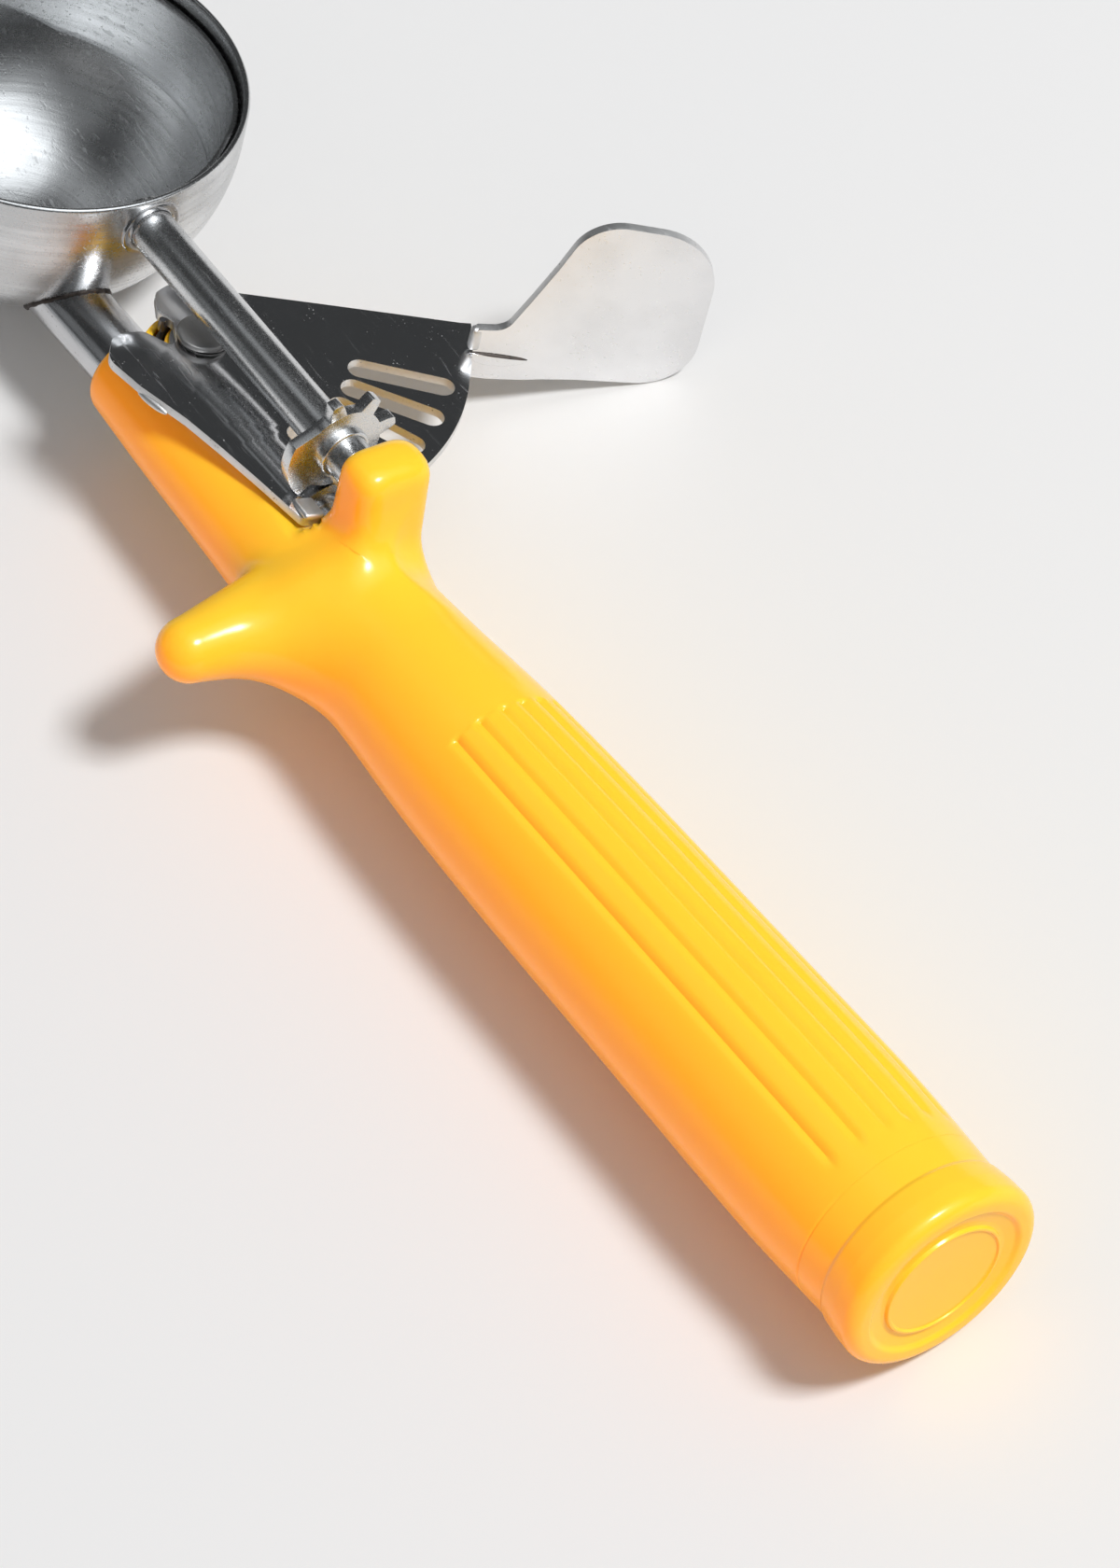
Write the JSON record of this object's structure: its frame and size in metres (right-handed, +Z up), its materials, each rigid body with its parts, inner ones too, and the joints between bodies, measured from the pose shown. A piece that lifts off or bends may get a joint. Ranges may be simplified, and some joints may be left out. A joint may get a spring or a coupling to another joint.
{
  "type": "lever ice cream scoop",
  "caption": "Ice cream scoop with a hemispherical steel bowl, a curved sweep blade turned by a slotted thumb lever and pinion, and a moulded plastic handle.",
  "frame": {"origin": "middle of the underside of the bounding box of the scoop as it lies on a table, on its bowl, end cap and thumb pad", "axes": "+X from the bowl to the end cap along the handle, +Y to the side of the thumb lever, +Z up"},
  "size_m": [0.246, 0.0944, 0.043],
  "materials": {
    "satin_steel": "satin",
    "steel": "satin",
    "mirror_steel": "polished",
    "dark_steel": "satin",
    "spring_wire": "satin",
    "weld": "matte",
    "yellow_plastic": "glossy"
  },
  "bodies": {
    "frame": {"bowl": "satin_steel", "shaft_bush": "steel", "front_pivot_pin": "steel", "front_pivot_washer": "steel", "shank_rod": "steel", "shank_weld": "weld", "grip": "yellow_plastic", "end_cap": "yellow_plastic", "post_bush": "steel", "pivot_rivet": "dark_steel", "rivet_washer": "dark_steel", "pivot_sleeve": "steel", "thrust_washer": "steel", "rod_pin": "steel", "spring_anchor_pin": "steel", "return_spring": "spring_wire"},
    "lever": {"lever_plate": "mirror_steel"},
    "sweep": {"sweep_shaft": "mirror_steel", "pinion": "mirror_steel", "pinion_pin": "dark_steel", "scraper_blade": "satin_steel"}
  },
  "joints": [
    {"name": "lever_pivot", "type": "hinge", "parent": "frame", "child": "lever", "pos_m": [-0.05087, -0.01373, 0.022], "axis": [0.0114, -0.3619, -0.9321], "range_deg": [0, 41], "stiffness_Nm_per_rad": 0.15, "springref_deg": -40.11, "deforming": ["return_spring"]},
    {"name": "sweep_turn", "type": "hinge", "parent": "frame", "child": "sweep", "pos_m": [-0.04395, -0.0112, 0.02861], "axis": [-0.9999, 0, -0.0123], "range_deg": [0, 164]}
  ],
  "couplings": [
    {"joint": "sweep_turn", "follows": "lever_pivot", "ratio": 4}
  ]
}
